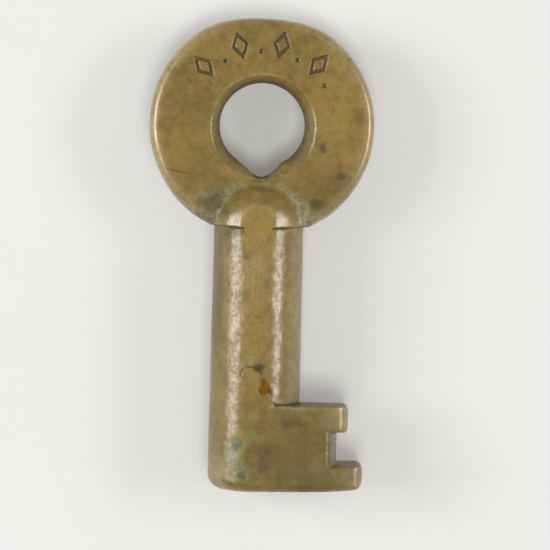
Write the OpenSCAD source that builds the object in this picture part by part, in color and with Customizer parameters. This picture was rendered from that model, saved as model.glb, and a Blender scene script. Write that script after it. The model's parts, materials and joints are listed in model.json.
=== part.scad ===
// Switch key with a hollow barrel: a cast bow whose domed hood takes the end of a drilled
// barrel, and a toothed bit let into the barrel's wall. Both joints are brazed.
// The origin is the centre of the barrel's mouth. +Y runs up the barrel to the bow,
// +X points out along the bit and +Z is the front face. Sizes are in millimetres.

/* [Barrel] */
// Outside diameter of the barrel
barrel_d = 10.3; // [9.4:0.1:11.5]
// Length of the barrel from its mouth to its shoulder
barrel_len = 29.7; // [26:0.1:40]
// Diameter of the bore that slips over the lock's post
post_bore_d = 5.2; // [4:0.1:6]
// Depth of the straight wall of the post bore
post_bore_depth = 22; // [16:0.5:23]
// Included angle of the drill point at the end of the post bore
drill_angle = 118; // [90:1:140]
// Rounding of the outer edge of the mouth
mouth_round = 1.3; // [0.3:0.1:1.8]

/* [Shoulder joint] */
// Diameter of the spigot at the barrel's upper end
spigot_d = 6.8; // [5.6:0.1:7.6]
// Length of the spigot
spigot_len = 2.9; // [1.5:0.1:3.4]
// Free space above the end of the spigot
spigot_end_gap = 0.2; // [0.1:0.05:0.5]
// Thickness of the braze round the spigot and under the hood's rim
shoulder_film = 0.1; // [0.05:0.01:0.2]

/* [Hood] */
// How far the hood's rim stands out from the barrel
hood_proud = 0.1; // [0.05:0.05:0.5]
// Height of the hood's straight skirt, below its dome
hood_skirt = 0.65; // [0.3:0.05:1]
// Depth filed off the hood's front and back, at its rim
hood_flat_depth = 0.25; // [0.05:0.05:0.6]
// Slope of the filed flats toward the bow
hood_flat_slope = 4.3; // [0:0.1:8]

/* [Bow] */
// Outside diameter of the ring
bow_d = 25.4; // [23.5:0.1:30]
// Thickness of the ring
bow_t = 4.6; // [3.6:0.1:6]
// Distance from the hood's rim to the centre of the ring
bow_reach = 11.5; // [11:0.1:12]
// Rounding of the ring's outer edges
bow_round = 1.0; // [0.2:0.1:1.6]
// Depth worn off the crown of the ring
crown_wear = 0.45; // [0.1:0.05:1]

/* [Bow hole] */
// Diameter of the hole at its narrow land
hole_d = 9.7; // [8:0.1:10.5]
// Length of the narrow land
hole_land = 1.4; // [0.8:0.1:2.4]
// How far the hole flares out from its land to each face
hole_flare = 1.15; // [0.3:0.05:1.6]
// How far the tip of the notch reaches past the land
hole_notch = 1.0; // [0.4:0.05:1.4]

/* [Bit] */
// Width of the bit along the barrel
bit_w = 9.5; // [9:0.1:12]
// Thickness of the bit, front to back
bit_t = 9.0; // [7:0.1:9.2]
// Distance from the axis at which the bit's flat faces begin
bit_face_start = 5.5; // [5.3:0.1:7]
// How far below the barrel's front the bit's faired faces start, over the axis
bit_fair_drop = 0.03; // [0.02:0.01:0.1]
// Reach of the lower tooth from the axis
lower_tooth_reach = 12.4; // [10:0.1:16]
// Width of the lower tooth along the barrel
lower_tooth_w = 2.84; // [2:0.02:4]
// Reach of the upper tooth from the axis
upper_tooth_reach = 10.66; // [10:0.02:16]
// Width of the upper tooth along the barrel
upper_tooth_w = 2.76; // [2:0.02:4]
// Reach of the bottom of the notch between the teeth
tooth_gap_reach = 9.46; // [7.5:0.02:9.8]
// Rounding of the outer corners of the teeth
tooth_round = 0.6; // [0.2:0.05:0.9]

/* [Bit joint] */
// Depth of the seat cut into the barrel's wall for the bit
seat_depth = 0.9; // [0.5:0.05:1.2]
// Distance from the axis to the seat's long edge, on the side away from the bit
seat_edge = 1.4; // [1.2:0.05:2.2]
// Radius of the tip of the tongue that runs up from the bit
tongue_tip_r = 1.3; // [0.8:0.05:1.8]
// How far that round tip swells past the tongue's straight edges
tongue_swell = 0.02; // [0.01:0.01:0.1]
// Height of the centre of that tip above the bit
tongue_rise = 3.4; // [2.5:0.1:5]
// Distance from the axis at which the tongue's sloping edge meets the bit
tongue_foot = 2.45; // [1.9:0.05:3.2]
// Thickness of the braze in the seat
seat_film = 0.1; // [0.05:0.01:0.2]

/* [Hidden] */
$fn = 96;
// Overlap that keeps cutters clear of the faces they cut
over = 1;

barrel_r = barrel_d / 2;
post_bore_r = post_bore_d / 2;
drill_point_h = post_bore_r / tan(drill_angle / 2);
spigot_r = spigot_d / 2;

rim_y = barrel_len + shoulder_film;
hood_r = barrel_r + hood_proud;
socket_r = spigot_r + shoulder_film;
socket_depth = spigot_len - shoulder_film + spigot_end_gap;

bow_y = rim_y + bow_reach;
bow_r = bow_d / 2;
hole_r = hole_d / 2;
notch_tip = hole_r + hole_notch;
// Angle from the notch's centreline to the points where its sides leave the round hole
notch_spread = acos(hole_r / notch_tip);

saddle_r = barrel_r - seat_depth;
gap_w = bit_w - lower_tooth_w - upper_tooth_w;
reach_max = max(lower_tooth_reach, upper_tooth_reach);

tip_x = tongue_tip_r - tongue_swell - seat_edge;
tip_y = bit_w + tongue_rise;
// Direction in which the tongue's sloping edge faces
tongue_half_w = tongue_tip_r - tongue_swell;
foot_dist = norm([tongue_foot - tip_x, tongue_rise]);
edge_facing = acos(tongue_half_w / foot_dist) - atan2(tongue_rise, tongue_foot - tip_x);

// Turns a shape drawn upward along Z so that it runs up the barrel along Y
module along_barrel(y = 0) {
    translate([0, y, 0]) rotate([-90, 0, 0]) children();
}

// Half profile of a disc with rounded rim edges, from the axis out
module disc_profile(r, t, round_r) {
    translate([0, -t / 2]) square([r - round_r, t]);
    translate([0, round_r - t / 2]) square([r, t - 2 * round_r]);
    for (side = [-1, 1])
        translate([r - round_r, side * (t / 2 - round_r)]) circle(round_r);
}

// The barrel's outer form, with its rounded mouth, from the mouth to the shoulder
module barrel_form() {
    along_barrel(mouth_round) cylinder(h = barrel_len - mouth_round, r = barrel_r);
    along_barrel() cylinder(h = mouth_round + over / 2, r = barrel_r - mouth_round);
    along_barrel(mouth_round)
        rotate_extrude() translate([barrel_r - mouth_round, 0]) circle(mouth_round);
}

// Outline of the bit's root seen from the front, grown by the given amount on every side
module root_outline(grow = 0) {
    left = -seat_edge - grow;
    right = hood_r + 3 * over;
    half_w = tongue_half_w + grow;
    top = bit_w + grow;
    foot_x = tip_x + (half_w - (top - tip_y) * sin(edge_facing)) / cos(edge_facing);
    translate([tip_x, tip_y]) circle(tongue_tip_r + grow);
    polygon([
        [left, -over - grow],
        [right, -over - grow],
        [right, top],
        [foot_x, top],
        [tip_x + half_w * cos(edge_facing), tip_y + half_w * sin(edge_facing)],
        [left, tip_y]
    ]);
}

// Space of the bit's root between two radii about the axis
module root_space(inner_r, outer_r, grow = 0) {
    height = tip_y + tongue_tip_r + 4 * over;
    intersection() {
        along_barrel() difference() {
            cylinder(h = height, r = outer_r);
            translate([0, 0, -over]) cylinder(h = height + 2 * over, r = inner_r);
        }
        linear_extrude(2 * (outer_r + over), center = true) root_outline(grow);
    }
}

module hood_flat_cutter() {
    translate([0, rim_y, barrel_r - hood_flat_depth])
        rotate([-hood_flat_slope, 0, 0])
            translate([-hood_r - over, -2 * over, 0])
                cube([2 * (hood_r + over), bow_reach, hood_r]);
}

module bow_ring() {
    difference() {
        translate([0, bow_y, 0]) rotate_extrude() disc_profile(bow_r, bow_t, bow_round);
        translate([-bow_r, bow_y + bow_r - crown_wear, -bow_t])
            cube([bow_d, crown_wear + over, 2 * bow_t]);
        translate([-bow_r, rim_y - bow_r, -bow_t]) cube([bow_d, bow_r, 2 * bow_t]);
    }
}

module hood() {
    difference() {
        union() {
            along_barrel(rim_y) cylinder(h = hood_skirt, r = hood_r);
            translate([0, rim_y + hood_skirt, 0]) sphere(hood_r);
        }
        along_barrel(rim_y - 2 * hood_r) cylinder(h = 2 * hood_r, r = hood_r + over);
        for (side = [0, 1]) mirror([0, 0, side]) hood_flat_cutter();
    }
}

// The bow's hole: a narrow land that flares to both faces, and its notch toward the barrel
module bow_hole() {
    flare_h = (bow_t - hole_land) / 2;
    slope = hole_flare / flare_h;
    translate([0, bow_y, 0]) {
        cylinder(h = bow_t + 2 * over, r = hole_r, center = true);
        for (side = [0, 1])
            mirror([0, 0, side])
                translate([0, 0, hole_land / 2])
                    cylinder(h = flare_h + over, r1 = hole_r, r2 = hole_r + hole_flare + slope * over);
        linear_extrude(bow_t + 2 * over, center = true)
            polygon([
                [0, -notch_tip],
                hole_r * [sin(notch_spread), -cos(notch_spread)],
                [0, 0],
                hole_r * [-sin(notch_spread), -cos(notch_spread)]
            ]);
    }
}

module bow() {
    color("#957d46")
        difference() {
            union() {
                bow_ring();
                hood();
            }
            bow_hole();
            along_barrel(rim_y - over) cylinder(h = over + socket_depth, r = socket_r);
        }
}

module barrel() {
    color("#8f7a4b")
        difference() {
            union() {
                barrel_form();
                along_barrel(barrel_len - over) cylinder(h = spigot_len + over, r = spigot_r);
            }
            along_barrel(-over) cylinder(h = post_bore_depth + over, r = post_bore_r);
            along_barrel(post_bore_depth) cylinder(h = drill_point_h, r1 = post_bore_r, r2 = 0);
            root_space(saddle_r - seat_film, hood_r + over, seat_film);
        }
}

// One step of the bit's outer end: a band of the given width that is round about the axis
module bit_band(y, w, reach) {
    along_barrel(y) cylinder(h = w, r = reach);
}

// A tooth with its two outer corners rounded over
module tooth_band(y, w, reach) {
    rotate([-90, 0, 0])
        translate([0, 0, y + w / 2]) rotate_extrude() disc_profile(reach, w, tooth_round);
}

// Cross-section of the bit: flat faces, with faired sides that run onto the barrel
module bit_section() {
    fair_start = barrel_r - bit_fair_drop;
    polygon([
        [0, fair_start],
        [bit_face_start, bit_t / 2],
        [reach_max + over, bit_t / 2],
        [reach_max + over, -bit_t / 2],
        [bit_face_start, -bit_t / 2],
        [0, -fair_start]
    ]);
}

module bit_web() {
    intersection() {
        along_barrel() linear_extrude(bit_w) bit_section();
        union() {
            tooth_band(0, lower_tooth_w, lower_tooth_reach);
            bit_band(lower_tooth_w - tooth_round, gap_w + 2 * tooth_round, tooth_gap_reach);
            tooth_band(lower_tooth_w + gap_w, upper_tooth_w, upper_tooth_reach);
        }
    }
}

module bit() {
    color("#86703f")
        union() {
            difference() {
                bit_web();
                along_barrel(-over) cylinder(h = bit_w + 2 * over, r = saddle_r);
            }
            root_space(saddle_r, barrel_r);
        }
}

module shoulder_braze() {
    color("#a98f57")
        along_barrel(barrel_len) {
            difference() {
                cylinder(h = shoulder_film, r = barrel_r);
                translate([0, 0, -over]) cylinder(h = shoulder_film + 2 * over, r = spigot_r);
            }
            difference() {
                cylinder(h = spigot_len, r = socket_r);
                translate([0, 0, -over]) cylinder(h = spigot_len + 2 * over, r = spigot_r);
            }
        }
}

module bit_braze() {
    color("#b08a4e")
        difference() {
            intersection() {
                root_space(saddle_r - seat_film, hood_r + over, seat_film);
                barrel_form();
            }
            root_space(saddle_r, hood_r + 2 * over);
        }
}

bow();
barrel();
bit();
shoulder_braze();
bit_braze();
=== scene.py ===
"""Worn brass switch key: the looks of its bow, barrel, bit and two brazed joints.

Lengths inside the shapes are millimetres in the key's own frame. The origin is the centre of the
barrel's mouth, +Y runs up the barrel to the bow, +X points out along the bit and +Z is the front.
"""

import itertools
import json
import logging
import math
from dataclasses import dataclass
from enum import Enum
from typing import Any, Mapping, Sequence, Union

import bpy
import numpy as np
import openvdb
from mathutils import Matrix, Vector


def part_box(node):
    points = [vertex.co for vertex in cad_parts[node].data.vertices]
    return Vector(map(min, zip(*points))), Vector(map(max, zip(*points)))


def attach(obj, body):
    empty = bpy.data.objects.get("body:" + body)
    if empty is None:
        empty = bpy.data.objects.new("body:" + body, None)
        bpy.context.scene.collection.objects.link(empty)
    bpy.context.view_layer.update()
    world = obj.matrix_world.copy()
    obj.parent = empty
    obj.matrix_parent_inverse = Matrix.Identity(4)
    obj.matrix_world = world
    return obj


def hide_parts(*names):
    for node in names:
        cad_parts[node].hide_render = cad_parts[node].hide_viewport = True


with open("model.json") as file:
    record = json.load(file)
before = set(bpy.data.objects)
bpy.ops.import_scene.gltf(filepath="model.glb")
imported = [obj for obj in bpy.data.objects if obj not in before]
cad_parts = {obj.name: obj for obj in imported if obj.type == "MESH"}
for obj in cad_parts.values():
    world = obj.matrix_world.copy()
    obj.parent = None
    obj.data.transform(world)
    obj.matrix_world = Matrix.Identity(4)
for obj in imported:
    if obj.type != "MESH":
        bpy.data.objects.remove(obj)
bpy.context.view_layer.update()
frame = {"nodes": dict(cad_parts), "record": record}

MM = 0.001
BODY = "root"
# In millimetres: a distance to start from, the least distance from the axis, a grid's room round a shape
FAR = 9.0
NEAR_AXIS = 1e-6
MARGIN = 0.4
LOG = logging.getLogger("switch_key")

Array = np.ndarray
Colour = tuple[float, float, float]
Point = tuple[float, float]
# Where a fade begins and where it is complete
Span = tuple[float, float]


def soft_min(a: Array, b: Array, blend: float) -> Array:
    """Join two distances, with a fillet where they meet.

    Args:
        a: Distance to the first solid.
        b: Distance to the second solid.
        blend: Width of the band over which the fillet runs, in millimetres.

    Returns:
        Distance to both solids together.
    """
    nearness = np.maximum(blend - np.abs(a - b), 0.0) / blend
    return np.minimum(a, b) - nearness * nearness * blend / 4


def soft_max(a: Array, b: Array, blend: float) -> Array:
    """Keep what two solids share, with its edges worn round.

    Args:
        a: Distance to the first solid.
        b: Distance to the second solid.
        blend: Width of the band over which the edge is worn, in millimetres.

    Returns:
        Distance to the shared solid.
    """
    return -soft_min(-a, -b, blend)


def round_corner(u: Array, v: Array, radius: float) -> Array:
    """Corner of two square faces, rounded to a true radius.

    Args:
        u: Distance past the first face.
        v: Distance past the second face.
        radius: Radius of the corner, in millimetres.

    Returns:
        Distance to the rounded corner.
    """
    inside = np.minimum(np.maximum(u, v) + radius, 0.0)
    return inside + np.hypot(np.maximum(u + radius, 0.0), np.maximum(v + radius, 0.0)) - radius


def smooth_step(value: Array, low: float, high: float) -> Array:
    """Ease from 0 at low to 1 at high.

    Args:
        value: Values to ease.
        low: Value that becomes 0.
        high: Value that becomes 1.

    Returns:
        Eased values between 0 and 1.
    """
    t = np.clip((value - low) / (high - low), 0.0, 1.0)
    return t * t * (3 - 2 * t)


def sideways(x: Array, z: Array) -> Array:
    """How far to the bit's side of the axis a place lies, from -1 to 1."""
    return x / np.maximum(np.hypot(x, z), NEAR_AXIS)


class Grain:
    """Smooth noise over space that is the same on every run."""

    SLOTS = 4096
    STRIDES = (73856093, 19349663, 83492791)
    SHIFT = 7.3

    def __init__(self, seed: int) -> None:
        """Draw the noise's table of values.

        Args:
            seed: Seed of the draw.
        """
        self.table = np.random.default_rng(seed).uniform(-1, 1, self.SLOTS)

    def at(self, points: Array, size: Union[float, Sequence[float]]) -> Array:
        """Noise at some points.

        Args:
            points: Points, one a row.
            size: Size of one lump, in millimetres, or its size along each axis.

        Returns:
            One value between -1 and 1 for each point.
        """
        scaled = points / np.asarray(size, float)
        cell = np.floor(scaled).astype(np.int64)
        t = scaled - cell
        t = t * t * (3 - 2 * t)
        total = np.zeros(len(points))
        for corner in itertools.product((0, 1), repeat=3):
            index = (cell + corner) * self.STRIDES
            slot = (index[:, 0] ^ index[:, 1] ^ index[:, 2]) % self.SLOTS
            total += np.where(corner, t, 1 - t).prod(axis=1) * self.table[slot]
        return total

    def layered(self, points: Array, size: float, layers: int) -> Array:
        """Noise with finer layers added, each half as large and half as strong.

        Args:
            points: Points, one a row.
            size: Size of the largest lumps, in millimetres.
            layers: Number of layers.

        Returns:
            One value for each point, about between -1 and 1.
        """
        return sum(self.at(points + self.SHIFT * n, size / 2**n) / 2**n for n in range(layers))


@dataclass(frozen=True)
class Layout:
    """Main sizes of the key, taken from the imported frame, in millimetres."""

    barrel_r: float
    shoulder_y: float
    rim_y: float
    bow_r: float
    bow_y: float
    crown_y: float
    hole_r: float
    hole_land: float
    bore_r: float
    bore_depth: float
    bit_reach: float
    tongue_top: float

    @classmethod
    def from_frame(cls) -> "Layout":
        """Read the sizes from the frame's boxes and mounts.

        Returns:
            The key's sizes.
        """
        box = {name: [np.array(c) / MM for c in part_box(name)] for name in frame["nodes"]}
        mounts = {m["name"]: m for m in frame["record"]["mounts"]}
        post, hole = mounts["post_bore"], mounts["bow_hole"]
        return cls(
            barrel_r=box["barrel"][1][0],
            shoulder_y=box["shoulder_braze"][0][1],
            rim_y=box["bow"][0][1],
            bow_r=box["bow"][1][0],
            bow_y=hole["pos_m"][1] / MM,
            crown_y=box["bow"][1][1],
            hole_r=hole["dims"]["r_mm"],
            hole_land=hole["dims"]["length_mm"],
            bore_r=post["dims"]["r_mm"],
            bore_depth=post["dims"]["length_mm"],
            bit_reach=box["bit"][1][0],
            tongue_top=box["bit"][1][1],
        )


class Mark(str, Enum):
    """What is recorded at each point of a piece for its finish to use."""

    # Rubbed brass; also a painted highlight on the ring's outer edge and a scratch, and a painted
    # reflection on the barrel's right flank
    WORN_AND_HIGHLIGHT = "worn"
    WARM = "warm_film"
    HOLLOW = "hollow"
    # As-cast skin, and a painted grey reflection on the barrel's flanks
    CAST = "as_cast_and_reflection"
    GREEN = "verdigris"
    RUST = "rust"
    # Stains, and painted shade on the barrel's left flank and under the hood's rim
    STAIN_AND_SHADE = "stain_and_shade"
    TURNED = "turned"
    EVEN = "even_film"


Marks = dict[Mark, Array]


def raise_mark(marks: Marks, mark: Mark, values: Array) -> None:
    """Raise a mark to new values wherever they are higher.

    Args:
        marks: Marks of the piece, changed in place.
        mark: The mark to raise.
        values: New values, one for each point.
    """
    marks[mark] = np.maximum(marks[mark], values)


@dataclass(frozen=True)
class Spot:
    """A ragged patch of one mark on the front."""

    mark: Mark
    at: Point
    size: Point
    strength: float = 1.0
    ragged: float = 0.4
    fade: Span = (0.1, 1.4)
    front: Span = (-1.2, 1.8)
    lump_share: float = 0.8
    largest_lump: float = 1.2

    def cover(self, points: Array) -> Array:
        """How strongly the patch covers each point.

        Args:
            points: Points of the surface, one a row.

        Returns:
            How strongly, from 0 to its strength.
        """
        away = np.hypot(*((points[:, :2] - self.at) / self.size).T)
        lump = min(self.largest_lump, self.lump_share * max(self.size))
        ragged = away + self.ragged * Grain(71).layered(points, lump, 3)
        cover = 1 - smooth_step(ragged, *self.fade)
        return self.strength * cover * smooth_step(points[:, 2], *self.front)


@dataclass(frozen=True)
class Nick:
    """A dent or scratch in the front, from one end to the other."""

    start: Point
    end: Point
    width: float
    depth: float
    dirt: float = 0.8

    def hollow(self, points: Array) -> Array:
        """How deep the nick is at each point, as a share of its depth.

        Args:
            points: Points of the surface, one a row.

        Returns:
            The depth at each point, from 0 to 1.
        """
        start = np.array(self.start)
        run = np.array(self.end) - start
        rel = points[:, :2] - start
        along = np.clip(rel @ run / max(run @ run, 1e-6), 0, 1)
        away = np.linalg.norm(rel - along[:, None] * run, axis=1) / self.width
        return np.exp(-away * away) * (points[:, 2] > 0)


class Value:
    """A shader value whose arithmetic adds Math nodes to its material."""

    def __init__(self, shader: "Shader", socket: bpy.types.NodeSocket) -> None:
        """Wrap an output socket.

        Args:
            shader: Material that the socket belongs to.
            socket: Output socket that gives the value.
        """
        self.shader = shader
        self.socket = socket

    def _math(self, operation: str, first: "Input", second: "Input") -> "Value":
        """Add a Math node.

        Args:
            operation: The node's operation.
            first: First operand.
            second: Second operand.

        Returns:
            The node's result.
        """
        return self.shader.add("ShaderNodeMath", {"operation": operation}, {0: first, 1: second})

    def __add__(self, other: "Input") -> "Value":
        """Add another value."""
        return self._math("ADD", self, other)

    def __sub__(self, other: "Input") -> "Value":
        """Take another value away."""
        return self._math("SUBTRACT", self, other)

    def __rsub__(self, other: "Input") -> "Value":
        """Take this value away from another."""
        return self._math("SUBTRACT", other, self)

    def __mul__(self, other: "Input") -> "Value":
        """Multiply by another value."""
        return self._math("MULTIPLY", self, other)

    __radd__ = __add__
    __rmul__ = __mul__

    def above(self, low: float, high: float) -> "Value":
        """Ease from 0 at low to 1 at high.

        Args:
            low: Value that becomes 0.
            high: Value that becomes 1.

        Returns:
            The eased value.
        """
        settings = {"interpolation_type": "SMOOTHSTEP"}
        return self.shader.add("ShaderNodeMapRange", settings, {"Value": self, 1: low, 2: high})

    def clamped(self) -> "Value":
        """Hold the value between 0 and 1."""
        return self.shader.add("ShaderNodeClamp", {}, {0: self})


Input = Union[Value, float, Sequence[float]]


class Shader:
    """One material and the nodes that feed its surface."""

    def __init__(self, name: str) -> None:
        """Make an empty material.

        Args:
            name: The material's name.
        """
        self.material = bpy.data.materials.new(name)
        self.material.use_nodes = True
        self.tree = self.material.node_tree
        self.tree.nodes.clear()
        self.place = self.add("ShaderNodeTexCoord", {}, {}, "Object")

    def add(
        self,
        kind: str,
        settings: Mapping[str, Any],
        inputs: Mapping[Union[int, str], Input],
        output: Union[int, str] = 0,
    ) -> Value:
        """Add a node, set it up and feed it.

        Args:
            kind: The node's type.
            settings: The node's own settings, by name.
            inputs: Numbers, colours or values for its sockets, by name or index.
            output: Name or index of the output that is wanted.

        Returns:
            The wanted output.
        """
        node = self.tree.nodes.new(kind)
        for name, setting in settings.items():
            setattr(node, name, setting)
        for name, given in inputs.items():
            if isinstance(given, Value):
                self.tree.links.new(given.socket, node.inputs[name])
            else:
                node.inputs[name].default_value = given
        return Value(self, node.outputs[output])

    def mark(self, mark: Mark) -> Value:
        """Value of a mark recorded on the piece."""
        return self.add("ShaderNodeAttribute", {"attribute_name": mark.value}, {}, "Fac")

    def noise(self, size: float, detail: float = 3.0, stretch: Sequence[float] = (1, 1, 1)) -> Value:
        """Cloudy noise over the piece.

        Args:
            size: Size of its lumps, in millimetres.
            detail: Number of finer layers.
            stretch: How many times longer its lumps are along each axis.

        Returns:
            The noise, about 0.5 on average.
        """
        factors = [1 / s for s in stretch]
        settings = {"operation": "MULTIPLY"}
        place = self.add("ShaderNodeVectorMath", settings, {0: self.place, 1: factors})
        inputs = {"Vector": place, "Scale": 1 / (size * MM), "Detail": detail}
        return self.add("ShaderNodeTexNoise", {}, inputs, "Fac")

    def mix(self, factor: Input, first: Input, second: Input) -> Value:
        """Mix two colours.

        Args:
            factor: Share of the second colour.
            first: First colour.
            second: Second colour.

        Returns:
            The mixed colour.
        """
        colours = [c if isinstance(c, Value) else (*c, 1.0) for c in (first, second)]
        inputs = {0: factor, 6: colours[0], 7: colours[1]}
        return self.add("ShaderNodeMix", {"data_type": "RGBA"}, inputs, 2)

    def bump(self, height: Value, depth: float) -> Value:
        """Turn a height into a normal.

        Args:
            height: Height between 0 and 1.
            depth: Depth that a height of 1 stands for, in millimetres.

        Returns:
            The normal.
        """
        inputs = {"Strength": 1.0, "Distance": depth * MM, "Height": height}
        return self.add("ShaderNodeBump", {}, inputs)

    def surface(self, inputs: Mapping[str, Input]) -> bpy.types.Material:
        """Finish the material with a Principled surface.

        Args:
            inputs: Numbers, colours or values for the surface, by socket name.

        Returns:
            The finished material.
        """
        shaded = self.add("ShaderNodeBsdfPrincipled", {}, inputs, "BSDF")
        self.add_output(shaded)
        return self.material

    def add_output(self, shaded: Value) -> None:
        """Send a shader to the material's output."""
        node = self.tree.nodes.new("ShaderNodeOutputMaterial")
        self.tree.links.new(shaded.socket, node.inputs["Surface"])


@dataclass(frozen=True)
class AgedBrass:
    """Brass that has been handled, tarnished and left in the weather."""

    name: str
    # Colours
    film: Colour = (0.270, 0.180, 0.036)
    film_dark: Colour = (0.180, 0.117, 0.024)
    film_warm: Colour = (0.326, 0.214, 0.038)
    # Rubbed brass colour, also used for painted highlights and a painted reflection
    rubbed_and_highlight: Colour = (0.52, 0.395, 0.20)
    # As-cast skin colours, also painted as a grey reflection on the barrel's flanks
    cast_skin_and_reflection: Colour = (0.365, 0.320, 0.182)
    cast_dark_and_reflection: Colour = (0.180, 0.155, 0.080)
    # Dirt; also painted shade on the bit's faces that look up the barrel and at the notch's tip
    dirt: Colour = (0.050, 0.038, 0.013)
    green: Colour = (0.068, 0.115, 0.050)
    green_pale: Colour = (0.230, 0.278, 0.125)
    rust: Colour = (0.200, 0.085, 0.003)
    rust_dark: Colour = (0.075, 0.032, 0.006)
    # Stain colour, also painted shade on the barrel's left flank and under the hood's rim
    stain_and_shade: Colour = (0.062, 0.053, 0.018)
    # Noise, with sizes in millimetres
    cloud_size: float = 4.0
    mottle_size: float = 1.3
    smudge_size: float = 0.7
    speck_size: float = 0.3
    streak_size: float = 0.3
    streak_stretch: float = 10.0
    # Strength of streaks and specks, and depth of the grit
    streak: float = 0.45
    speck: float = 0.6
    grit: float = 0.04
    # Shine
    roughness: float = 0.36
    metal: float = 0.12
    least_gloss: float = 0.36
    patchy_gloss: float = 0.64
    evened: float = 0.65
    specular: float = 0.25
    coat_roughness: float = 0.28
    coat_ior: float = 1.8

    def material(self) -> bpy.types.Material:
        """Make the material.

        Returns:
            The material, which reads the marks of the piece that wears it.
        """
        s = Shader(self.name)
        # The worn mark also carries painted highlight, the as-cast mark a painted reflection on the
        # flanks, the stain mark painted shade, and the hollow mark painted shade on the bit's level faces
        # and at the notch's tip
        worn, warm, hollow = s.mark(Mark.WORN_AND_HIGHLIGHT), s.mark(Mark.WARM), s.mark(Mark.HOLLOW)
        cast_and_reflection, green, rust = s.mark(Mark.CAST), s.mark(Mark.GREEN), s.mark(Mark.RUST)
        stain_and_shade, turned, even = s.mark(Mark.STAIN_AND_SHADE), s.mark(Mark.TURNED), s.mark(Mark.EVEN)
        clouds = s.noise(self.cloud_size, 2.0)
        mottle = s.noise(self.mottle_size, 3.0)
        smudge = s.noise(self.smudge_size, 1.5)
        specks = s.noise(self.speck_size, 1.0)
        streaks = s.noise(self.streak_size, 2.0, (1, self.streak_stretch, 1))
        grain = (0.5 * smudge + 0.5 * specks).above(0.38, 0.62)

        tone = (0.4 * clouds + 0.35 * mottle + 0.25 * smudge).above(0.36, 0.62)
        colour = s.mix(tone, self.film_dark, self.film)
        colour = s.mix((warm * (0.2 + 1.3 * mottle)).clamped(), colour, self.film_warm)
        colour = s.mix((worn * (0.4 + 0.9 * mottle)).clamped(), colour, self.rubbed_and_highlight)
        speckled = self.speck * specks.above(0.53, 0.72) * (1 - 4 * cast_and_reflection).clamped()
        colour = s.mix(speckled, colour, self.film_dark)
        colour = s.mix(self.streak * turned * streaks.above(0.55, 0.75), colour, self.film_dark)
        crystals_and_reflection = s.mix((0.4 * smudge + 0.6 * specks).above(0.3, 0.7), self.cast_dark_and_reflection, self.cast_skin_and_reflection)
        colour = s.mix((cast_and_reflection * (0.5 + 0.9 * mottle)).clamped(), colour, crystals_and_reflection)
        colour = s.mix((hollow * (0.6 + 0.7 * smudge)).clamped(), colour, self.dirt)
        colour = s.mix((stain_and_shade * (0.4 + 0.8 * mottle + 0.4 * smudge)).clamped(), colour, self.stain_and_shade)
        rust = (rust * (0.7 + 0.6 * mottle)).clamped()
        colour = s.mix(rust, colour, s.mix(smudge.above(0.3, 0.6), self.rust_dark, self.rust))
        salts = s.mix((green * (0.6 + 0.8 * mottle)).above(0.4, 1.0), self.green_pale, self.green)
        green = (green * (0.3 + 0.9 * grain)).clamped()
        colour = s.mix(green, colour, salts)

        crust = (0.6 * green + rust + 0.8 * hollow + 0.7 * stain_and_shade).clamped()
        rough = self.roughness + 0.2 * smudge + 0.15 * cast_and_reflection - 0.05 * worn + 0.2 * crust
        metallic = (self.metal + 0.4 * worn - 0.1 * cast_and_reflection - 0.4 * crust).clamped()
        patchy = (0.25 * mottle + 0.3 * smudge + 0.45 * specks).above(0.4, 0.6)
        patchy = patchy + self.evened * even * (0.5 - patchy)
        gloss = self.least_gloss + self.patchy_gloss * patchy + 0.3 * warm
        coat = (gloss * (1 - 0.6 * cast_and_reflection) * (1 - crust)).clamped()
        height = 0.5 * mottle + 0.4 * smudge + 0.15 * specks + 0.1 * streaks + cast_and_reflection * specks
        return s.surface(
            {
                "Base Color": colour,
                "Roughness": rough,
                "Metallic": metallic,
                "Specular IOR Level": self.specular,
                "Coat Weight": coat,
                "Coat Roughness": self.coat_roughness,
                "Coat IOR": self.coat_ior,
                "Normal": s.bump(height, self.grit),
            }
        )


@dataclass(frozen=True)
class PaleFloor:
    """Plain pale tabletop whose shadows look a little lighter to the eye than they are."""

    colour: Colour = (0.80, 0.80, 0.794)
    lift: float = 0.17
    shade: float = 0.985
    shade_size: float = 30.0
    roughness: float = 0.9
    specular: float = 0.2

    def material(self) -> bpy.types.Material:
        """Make the material.

        Returns:
            The material.
        """
        s = Shader("pale_floor")
        shaded = [c * self.shade for c in self.colour]
        tint = s.mix(s.noise(self.shade_size).above(0.3, 0.7), self.colour, shaded)
        inputs = {"Base Color": tint, "Roughness": self.roughness, "Specular IOR Level": self.specular}
        lit = s.add("ShaderNodeBsdfPrincipled", {}, inputs, "BSDF")
        glow = s.add("ShaderNodeEmission", {}, {"Color": (*self.colour, 1.0), "Strength": 1.0})
        kinds = ("Is Camera Ray", "Is Glossy Ray", "Is Transmission Ray")
        rays = [s.add("ShaderNodeLightPath", {}, {}, kind) for kind in kinds]
        share = self.lift * sum(rays, 0.0).clamped()
        s.add_output(s.add("ShaderNodeMixShader", {}, {0: share, 1: lit, 2: glow}))
        return s.material


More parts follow.
